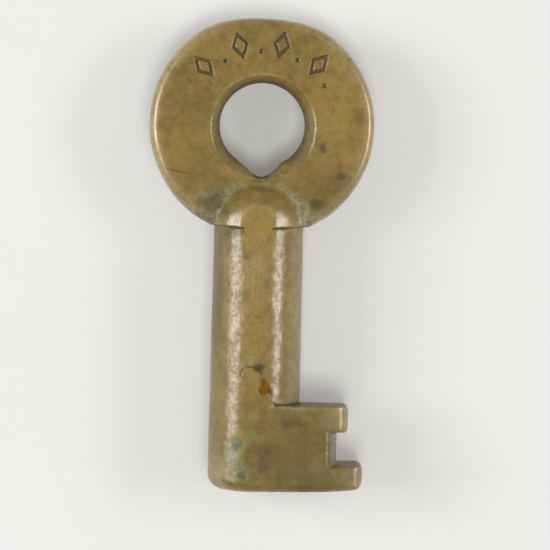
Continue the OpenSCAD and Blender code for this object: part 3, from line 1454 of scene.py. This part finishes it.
KEY_END_SPOTS = (
    Spot(Mark.WARM, (0.1, 21.0), (1.7, 11.0), 0.9),
    Spot(Mark.WORN_AND_HIGHLIGHT, (0.1, 25.0), (1.8, 5.0), 0.35),
    Spot(Mark.WORN_AND_HIGHLIGHT, (-4.2, 1.8), (1.4, 2.0), 0.65),
    # Painted reflection: the barrel's right flank lightened
    Spot(Mark.WORN_AND_HIGHLIGHT, (4.4, 22.0), (1.2, 9.0), 0.2),
    Spot(Mark.WORN_AND_HIGHLIGHT, (9.9, 8.2), (2.0, 2.4), 0.8),
    Spot(Mark.WORN_AND_HIGHLIGHT, (11.3, 1.4), (1.8, 2.2), 0.6),
    # Painted shadow under the left of the hood's rim
    Spot(Mark.STAIN_AND_SHADE, (-2.7, 29.1), (1.7, 0.8), 0.65),
    Spot(Mark.STAIN_AND_SHADE, (-2.3, 27.4), (1.1, 1.6), 0.3),
    Spot(Mark.STAIN_AND_SHADE, (1.15, 28.1), (0.45, 0.7), 0.35),
    Spot(Mark.STAIN_AND_SHADE, (0.2, 19.6), (0.6, 0.25), 0.5),
    Spot(Mark.STAIN_AND_SHADE, (-1.4, 26.2), (0.5, 0.3), 0.5),
    # A scratch painted pale: rubbed metal and a painted highlight where its wall catches the light
    Spot(Mark.WORN_AND_HIGHLIGHT, (0.6, 28.2), (0.2, 0.6), 0.7),
    Spot(Mark.STAIN_AND_SHADE, (0.4, 14.05), (0.9, 0.8), 1.1),
    Spot(Mark.RUST, (0.5, 13.6), (0.5, 0.9), 0.4),
    Spot(Mark.STAIN_AND_SHADE, (1.2, 3.85), (0.7, 0.6), 0.8),
    Spot(Mark.STAIN_AND_SHADE, (1.5, 3.7), (3.2, 2.6), 0.6),
    Spot(Mark.STAIN_AND_SHADE, (6.8, 1.2), (5.5, 2.0), 0.65),
    Spot(Mark.STAIN_AND_SHADE, (1.7, 4.3), (1.0, 0.8), 0.8),
    Spot(Mark.STAIN_AND_SHADE, (2.6, 5.0), (1.7, 1.3), 0.62),
    Spot(Mark.STAIN_AND_SHADE, (5.5, 4.6), (8.5, 6.5), 0.48),
    Spot(Mark.STAIN_AND_SHADE, (0.6, 6.8), (1.6, 2.6), 0.35),
    Spot(Mark.STAIN_AND_SHADE, (4.2, 7.8), (2.0, 1.2), 0.8),
    Spot(Mark.GREEN, (-2.0, 5.0), (1.1, 1.2), 1.1),
    Spot(Mark.GREEN, (-1.2, 1.9), (0.8, 0.8), 1.15),
    Spot(Mark.GREEN, (-2.2, 2.8), (1.5, 1.5), 0.6),
    Spot(Mark.GREEN, (-0.3, 6.2), (0.9, 0.7), 0.4),
    Spot(Mark.GREEN, (-0.3, 14.6), (1.1, 0.6), 0.65),
    Spot(Mark.GREEN, (4.5, 9.8), (1.0, 0.5), 1.0),
    Spot(Mark.RUST, (1.1, 11.4), (0.55, 1.1), 1.3),
    Spot(Mark.STAIN_AND_SHADE, (0.75, 12.8), (0.45, 0.9), 0.9),
    Spot(Mark.RUST, (-1.4, 13.4), (0.4, 0.5), 0.45),
)


@dataclass
class Barrel(CarvedPiece):
    """The hollow barrel with its rounded mouth, spigot and seat for the bit."""

    # Bore, spigot and seat
    bore_edge: float = 0.5
    drill_slope: float = 0.6
    spigot_r: float = 3.4
    spigot_top: float = 32.6
    spigot_root: float = 1.0
    seat_depth: float = 1.0
    seat_gap: float = 0.05
    # Painted light on its sides: a grey reflection on both flanks, more on the right, and painted shade
    # down the left flank
    flank_reflection_right: float = 0.15
    flank_reflection_left: float = 0.05
    flank_reflection_span: Span = (0.6, 0.85)
    even_span: Span = (0.58, 0.7)
    shade: float = 0.2
    shade_more: float = 0.25
    shade_span: Span = (0.68, 0.82)
    shade_rise: Span = (12.0, 20.0)
    # Patches and nicks
    spots: tuple[Spot, ...] = KEY_END_SPOTS
    nicks: tuple[Nick, ...] = (Nick((0.6, 28.55), (0.55, 27.9), 0.14, 0.07, 0.1),)

    def extent(self) -> tuple[Sequence[float], Sequence[float]]:
        """Lowest and highest corner of the grid."""
        r = self.layout.barrel_r + MARGIN
        return (-r, -MARGIN, -r), (r, self.spigot_top + MARGIN, r)

    def plain_form(self, x: Array, y: Array, z: Array) -> Array:
        """Distance to the barrel's outside, without its bore and seat."""
        return BarrelForm(self.layout).outside(x, y, z)

    def shape(self, x: Array, y: Array, z: Array) -> Array:
        """Distance to the barrel's surface, negative inside.

        Args:
            x: Places along the bit.
            y: Places along the barrel.
            z: Places toward the front.

        Returns:
            The distance at each place, negative inside.
        """
        lay = self.layout
        seam = RootSeam(lay)
        r = np.hypot(x, z)
        ends = np.maximum(y - self.spigot_top, lay.shoulder_y - self.spigot_root - y)
        spigot = np.maximum(r - self.spigot_r, ends)
        solid = np.minimum(BarrelForm(lay).body(x, y, z), spigot)
        bore = np.maximum(r - lay.bore_r, y - lay.bore_depth - self.drill_slope * (lay.bore_r - r))
        solid = soft_max(solid, -bore, self.bore_edge)
        closed = seam.closed(x, y)
        outline = seam.past(x, y) + 2 * seam.lap * closed - self.seat_gap * (1 - closed)
        seat = np.maximum(outline, lay.barrel_r - self.seat_depth - r)
        solid = soft_max(solid, -seat, seam.seat_blend)
        return soft_max(solid, -seam.gap(x, y, r - BarrelForm(lay).skin(y)), seam.gap_blend)

    def marks(self, points: Array, normals: Array) -> Marks:
        """What the finish has to know at each point.

        Args:
            points: Points of the surface, one a row.
            normals: Directions that the surface faces there.

        Returns:
            Values from 0 to 1 for each mark.
        """
        marks = super().marks(points, normals)
        across, y = points[:, 0] / self.layout.barrel_r, points[:, 1]
        right, left = smooth_step(across, *self.flank_reflection_span), smooth_step(-across, *self.flank_reflection_span)
        # Painted grey reflection on the flanks, more on the right
        marks[Mark.CAST] = self.flank_reflection_right * right + self.flank_reflection_left * left
        marks[Mark.EVEN] = smooth_step(np.abs(across), *self.even_span)
        # Painted shade down the left flank, deeper toward the bow
        shade = self.shade + self.shade_more * smooth_step(y, *self.shade_rise)
        raise_mark(marks, Mark.STAIN_AND_SHADE, smooth_step(-across, *self.shade_span) * shade)
        BarrelForm(self.layout).marks(points, marks)
        return marks

    def relief(self, points: Array) -> Array:
        """How far the surface stands out at each point, in millimetres."""
        return TurnedSkin().relief(points)


@dataclass
class Bit(CarvedPiece):
    """The toothed bit, with the saddle and tongue by which it is let into the barrel."""

    # Web
    half_t: float = 4.5
    fairing: float = 0.8
    fairing_less: float = 0.6
    fairing_top: Span = (8.6, 9.5)
    edge_wear: float = 0.75
    top_wear: float = 0.4
    top_span: Span = (8.4, 9.4)
    foot_corner: float = 1.9
    corner_out: float = 0.3
    tilt: float = 0.012
    # Teeth
    lower_w: float = 2.96
    upper_w: float = 2.98
    upper_reach: float = 10.66
    gap_reach: float = 9.46
    tooth_round: float = 0.5
    tooth_bulge: float = 0.1
    gap_bulge: float = 0.8
    tooth_blend: float = 0.2
    end_foot: float = -1.0
    end_wear: float = 1.8
    step_span: Span = (4.2, 5.4)
    # Saddle and tongue
    saddle_r: float = 4.17
    tongue_root: float = 1.0
    sunk_edge: float = 0.03
    proud: float = 0.004
    # Marks, painted shade on the faces that look up the barrel, and relief
    web_span: Span = (3.5, 5.0)
    level_span: Span = (0.6, 0.95)
    level_shade: float = 0.26
    level_rusty_shade: float = 0.18
    end_cast: float = 0.15
    end_span: Span = (0.5, 0.9)
    wave: float = 0.02
    wave_lump: float = 2.5
    wave_span: Span = (2.5, 4.5)
    # Patches
    spots: tuple[Spot, ...] = KEY_END_SPOTS

    def extent(self) -> tuple[Sequence[float], Sequence[float]]:
        """Lowest and highest corner of the grid.

        Returns:
            The two corners, in millimetres.
        """
        lay = self.layout
        low = (RootSeam(lay).left_x - MARGIN, -MARGIN, -lay.barrel_r - MARGIN)
        return low, (lay.bit_reach + MARGIN, lay.tongue_top + MARGIN, lay.barrel_r + MARGIN)

    def end(self, x: Array, y: Array, z: Array) -> Array:
        """Distance to the stepped outer end, whose teeth bulge a little in the middle.

        Args:
            x: Places along the bit.
            y: Places along the barrel.
            z: Places toward the front.

        Returns:
            The distance at each place, negative inside.
        """
        foot, top = self.end_foot, RootSeam(self.layout).bit_w
        up = y - self.tilt * np.maximum(x - self.half_t, 0)
        bands = (
            (foot, top, self.gap_reach, self.gap_bulge),
            (foot, self.lower_w, self.layout.bit_reach, self.tooth_bulge),
            (top - self.upper_w, top, self.upper_reach, self.tooth_bulge),
        )
        solid = np.full(np.broadcast(x, y, z).shape, FAR)
        for low, high, reach, bulge in bands:
            r = np.sqrt(x * x + bulge * z * z)
            tooth = round_corner(r - reach, np.maximum(low - up, up - high), self.tooth_round)
            solid = soft_min(solid, tooth, self.tooth_blend)
        return solid

    def web(self, x: Array, y: Array, z: Array, skin: Array) -> Array:
        """Distance to the web and its teeth, faired into the barrel's skin.

        Args:
            x: Places along the bit.
            y: Places along the barrel.
            z: Places toward the front.
            skin: Distance to the barrel's skin at each place.

        Returns:
            The distance at each place.
        """
        fairing = self.fairing * (1 - self.fairing_less * smooth_step(y, *self.fairing_top))
        section = soft_min(np.maximum(np.abs(z) - self.half_t, -x), skin, fairing)
        form = BarrelForm(self.layout)
        wear = self.edge_wear - self.top_wear * smooth_step(y, *self.top_span)
        solid = soft_max(form.footed(section, x, y, z), self.end(x, y, z), wear)
        shorter = (self.layout.bit_reach - self.upper_reach) * smooth_step(y, *self.step_span)
        past = np.sqrt(x * x + self.tooth_bulge * z * z) - self.layout.bit_reach
        solid = np.maximum(solid, soft_max(section, past + shorter, self.end_wear))
        below = form.foot_line(x) - self.corner_out - y
        soft = round_corner(past - self.corner_out, below, self.foot_corner)
        return soft_max(solid, soft, self.corner_out)

    def plain_form(self, x: Array, y: Array, z: Array) -> Array:
        """Distance to the bit and barrel as one, without the seam."""
        body = BarrelForm(self.layout).body(x, y, z)
        return np.minimum(self.web(x, y, z, np.hypot(x, z) - BarrelForm(self.layout).skin(y)), body)

    def shape(self, x: Array, y: Array, z: Array) -> Array:
        """Distance to the bit's surface, negative inside.

        Args:
            x: Places along the bit.
            y: Places along the barrel.
            z: Places toward the front.

        Returns:
            The distance at each place, negative inside.
        """
        seam = RootSeam(self.layout)
        r = np.hypot(x, z)
        inside = np.clip(-seam.past(x, y) / seam.lap, 0, 1)
        skin = r - BarrelForm(self.layout).skin(y)
        sunk = skin + seam.closed(x, y) * (self.sunk_edge * (1 - inside) - self.proud)
        tongue = np.maximum(sunk, seam.bit_w - self.tongue_root - y)
        solid = np.minimum(self.web(x, y, z, sunk), tongue)
        solid = soft_max(solid, seam.past(x, y), seam.seat_blend)
        solid = np.maximum(solid, self.saddle_r - r)
        return soft_max(solid, -seam.gap(x, y, skin), seam.gap_blend)

    def marks(self, points: Array, normals: Array) -> Marks:
        """What the finish has to know at each point.

        Args:
            points: Points of the surface, one a row.
            normals: Directions that the surface faces there.

        Returns:
            Values from 0 to 1 for each mark.
        """
        marks = super().marks(points, normals)
        BarrelForm(self.layout).marks(points, marks)
        web = smooth_step(points[:, 0], *self.web_span)
        # Painted shade on the faces that look up the barrel, in the dirt and rust colours
        level = web * smooth_step(normals[:, 1], *self.level_span)
        raise_mark(marks, Mark.HOLLOW, self.level_shade * level)
        raise_mark(marks, Mark.RUST, self.level_rusty_shade * level)
        marks[Mark.CAST] = self.end_cast * web * smooth_step(normals[:, 0], *self.end_span)
        return marks

    def relief(self, points: Array) -> Array:
        """How far the surface stands out at each point, in millimetres."""
        web = smooth_step(points[:, 0], *self.wave_span)
        return TurnedSkin().relief(points) + self.wave * Grain(31).layered(points, self.wave_lump, 3) * web


@dataclass
class SeamBraze(CarvedPiece):
    """Filler left along the seam of the bit's root, front and back."""

    # Bead
    spread: float = 1.3
    film: float = 0.09
    deep: float = 0.4
    thick: float = 0.5
    foot: float = 0.6
    edge_blend: float = 0.05
    grid_side: float = 0.1
    grid_foot: float = 0.2
    # Marks and relief
    dirt: float = 0.6
    arch_clean: float = 0.4
    arch_low: Span = (12.6, 13.4)
    arch_right: Span = (-0.2, 0.3)
    rough: float = 0.04
    rough_lump: float = 0.6
    sunk: float = 0.01
    # Patches
    spots: tuple[Spot, ...] = (
        Spot(Mark.RUST, (1.3, 11.4), (1.0, 2.0), 1.0),
        Spot(Mark.STAIN_AND_SHADE, (0.2, 14.0), (1.0, 0.9), 1.0),
        Spot(Mark.RUST, (-1.3, 13.6), (0.5, 0.6), 0.5),
        Spot(Mark.STAIN_AND_SHADE, (3.5, 9.5), (2.0, 0.8), 0.9),
    )

    def extent(self) -> tuple[Sequence[float], Sequence[float]]:
        """Lowest and highest corner of the grid.

        Returns:
            The two corners, in millimetres.
        """
        lay, r = self.layout, self.layout.barrel_r + self.grid_side
        low = (RootSeam(lay).left_x - MARGIN, self.grid_foot, -r)
        return low, (lay.barrel_r, lay.tongue_top + MARGIN, r)

    def shape(self, x: Array, y: Array, z: Array) -> Array:
        """Distance to the filler's surface, almost flush with the skin.

        Args:
            x: Places along the bit.
            y: Places along the barrel.
            z: Places toward the front.

        Returns:
            The distance at each place, negative inside.
        """
        seam = RootSeam(self.layout)
        depth = np.hypot(x, z) - BarrelForm(self.layout).skin(y) + self.deep * seam.closed(x, y)
        half = np.maximum(self.spread * seam.width(x, y), self.film)
        layer = np.maximum(depth, -depth - self.thick)
        bead = soft_max(np.abs(seam.past(x, y)) - half, layer, self.edge_blend)
        return np.maximum(bead, self.foot - y)

    def marks(self, points: Array, normals: Array) -> Marks:
        """What the finish has to know at each point.

        Args:
            points: Points of the surface, one a row.
            normals: Directions that the surface faces there.

        Returns:
            Values from 0 to 1 for each mark.
        """
        marks = super().marks(points, normals)
        x, y, _ = points.T
        arch = smooth_step(y, *self.arch_low) * (1 - smooth_step(x, *self.arch_right))
        marks[Mark.HOLLOW] = self.dirt - self.arch_clean * arch
        return marks

    def relief(self, points: Array) -> Array:
        """How far the surface stands out at each point, in millimetres."""
        return self.rough * Grain(41).layered(points, self.rough_lump, 2) - self.sunk


@dataclass
class ShoulderBraze(Piece):
    """Filler between the barrel's spigot and the hood, with a bead under the hood's rim."""

    spigot_r: float = 3.4
    film: float = 0.1
    spigot_len: float = 2.9
    inset: float = 0.15
    sides: int = 192
    ripples: tuple[Point, ...] = ((0.008, 7), (0.006, 17))
    flank_span: Span = (0.55, 0.85)
    flank_out: float = 0.5
    dirt: float = 0.7
    flank_clean: float = 0.5

    def profile(self) -> list[Point]:
        """Radius and height above the barrel's shoulder of the corners of its section.

        Returns:
            Corners in order round the section, in millimetres.
        """
        outer = self.layout.barrel_r - self.inset
        return [
            (self.spigot_r, 0.0),
            (outer, 0.0),
            (outer + self.film / 2, self.film / 2),
            (outer, self.film),
            (self.spigot_r + self.film, self.film),
            (self.spigot_r + self.film, self.spigot_len),
            (self.spigot_r, self.spigot_len),
        ]

    def build(self) -> bpy.types.Object:
        """Turn the section round the barrel's axis, following the hood's rim.

        Returns:
            The piece.
        """
        profile = np.array(self.profile())
        corners_round = len(profile)
        turn = np.linspace(0, 2 * math.pi, self.sides, endpoint=False)
        waves = [rise * np.sin(count * turn + n) for n, (rise, count) in enumerate(self.ripples)]
        ripple = 1 + sum(waves)
        out = np.outer(ripple, np.where(profile[:, 0] > self.spigot_r + self.film, profile[:, 0], 0))
        flank = smooth_step(np.abs(np.cos(turn)), *self.flank_span)
        radius = np.where(out > 0, out + self.flank_out * self.inset * flank[:, None], profile[:, 0])
        z = radius * np.sin(turn)[:, None]
        y = HoodRim(self.layout).height(z) - self.film + profile[:, 1]
        z = z - np.sign(z) * np.maximum(FiledFlat(self.layout).past(y, z) + self.inset, 0)
        points = np.stack([radius * np.cos(turn)[:, None], y, z], axis=-1).reshape(-1, 3)
        row, column = np.meshgrid(np.arange(self.sides), np.arange(corners_round), indexing="ij")
        following, beside = (row + 1) % self.sides, (column + 1) % corners_round
        corners = [(row, column), (row, beside), (following, beside), (following, column)]
        faces = np.stack([a * corners_round + b for a, b in corners], axis=-1).reshape(-1, 4)
        marks = {mark: np.zeros(len(points)) for mark in Mark}
        marks[Mark.HOLLOW] = np.repeat(self.dirt - self.flank_clean * flank, corners_round)
        return self.make_piece(points, faces, marks)


@dataclass(frozen=True)
class SoftBox:
    """A soft box above the key; an overhead one is turned toward it and kept out of reflections.

    It is tilted from straight up toward the bit's side, in degrees. Its width across the key, its length
    along the key and how far it hangs ahead, toward the bow, are in metres.
    """

    name: str
    tilt: float
    radiance: float
    size: Point
    ahead: float
    overhead: bool = False


@dataclass
class Studio:
    """Tabletop, soft lights and camera.

    The tabletop's half width and the lamps' distance are in metres, the camera's sizes in millimetres.
    """

    layout: Layout
    floor_half: float = 2.0
    floor_gap: float = 0.1
    lens_distance: float = 260.0
    frame_width: float = 62.85
    aim: Point = (1.99, 24.33)
    roll: float = 1.4
    fill: float = 0.31
    fill_colour: Colour = (1.0, 0.97, 0.91)
    lamp_distance: float = 0.6
    boxes: tuple[SoftBox, ...] = (
        SoftBox("left_soft_box", -57, 7.1, (0.30, 0.28), 0.06),
        SoftBox("right_soft_box", 56, 8.2, (0.165, 0.28), 0.06),
        SoftBox("top_soft_box", 4, 13.2, (0.20, 0.18), -0.16, overhead=True),
    )

    def floor(self) -> None:
        """Lay the tabletop under the key."""
        half, z = self.floor_half, -(self.layout.barrel_r + self.floor_gap) * MM
        corners = [(-half, -half, z), (half, -half, z), (half, half, z), (-half, half, z)]
        mesh = bpy.data.meshes.new("tabletop")
        mesh.from_pydata(corners, [], [(0, 1, 2, 3)])
        mesh.materials.append(PaleFloor().material())
        floor = bpy.data.objects.new("tabletop", mesh)
        bpy.context.scene.collection.objects.link(floor)

    def hang(self, box: SoftBox) -> None:
        """Hang a soft box above the key.

        Args:
            box: The soft box to hang.
        """
        light = bpy.data.lights.new(box.name, "AREA")
        light.shape = "RECTANGLE"
        light.size, light.size_y = box.size
        light.energy = box.radiance * math.pi * box.size[0] * box.size[1]
        lamp = bpy.data.objects.new(box.name, light)
        lamp.visible_glossy = not box.overhead
        lean = math.radians(box.tilt)
        side, up = self.lamp_distance * math.sin(lean), self.lamp_distance * math.cos(lean)
        pitch = -box.ahead / up if box.overhead else 0.0
        lamp.location = (side, self.aim[1] * MM + box.ahead, up)
        lamp.rotation_euler = (pitch, lean, 0)
        bpy.context.scene.collection.objects.link(lamp)

    def light(self) -> None:
        """Set the even fill and the soft boxes."""
        world = bpy.data.worlds.new("soft_fill")
        world.use_nodes = True
        background = world.node_tree.nodes["Background"]
        background.inputs["Color"].default_value = (*self.fill_colour, 1)
        background.inputs["Strength"].default_value = self.fill
        bpy.context.scene.world = world
        for box in self.boxes:
            self.hang(box)

    def camera(self) -> None:
        """Set the camera straight above the key, at the photograph's framing."""
        data = bpy.data.cameras.new("overhead_camera")
        data.lens = data.sensor_width * self.lens_distance / self.frame_width
        camera = bpy.data.objects.new("overhead_camera", data)
        camera.location = (self.aim[0] * MM, self.aim[1] * MM, self.lens_distance * MM)
        camera.rotation_euler = (0, 0, math.radians(self.roll))
        bpy.context.scene.collection.objects.link(camera)
        bpy.context.scene.camera = camera

    def build(self) -> None:
        """Set the stage."""
        self.floor()
        self.light()
        self.camera()
        bpy.context.scene.view_settings.view_transform = "Standard"


def main() -> None:
    """Build every piece, dress it and set the stage."""
    logging.basicConfig(level=logging.INFO, format="%(message)s")
    layout = Layout.from_frame()
    Studio(layout).build()
    pieces = [
        Bow(layout, "bow_casting", "bow", "bow_brass", step=0.134),
        Barrel(layout, "hollow_barrel", "barrel", "barrel_brass", step=0.142),
        Bit(layout, "toothed_bit", "bit", "bit_brass"),
        SeamBraze(layout, "bit_seam_braze", "bit_braze", "braze", step=0.07),
        ShoulderBraze(layout, "shoulder_braze_bead", "shoulder_braze", "braze"),
    ]
    for piece in pieces:
        piece.dress(piece.build())


if __name__ == "__main__":
    main()
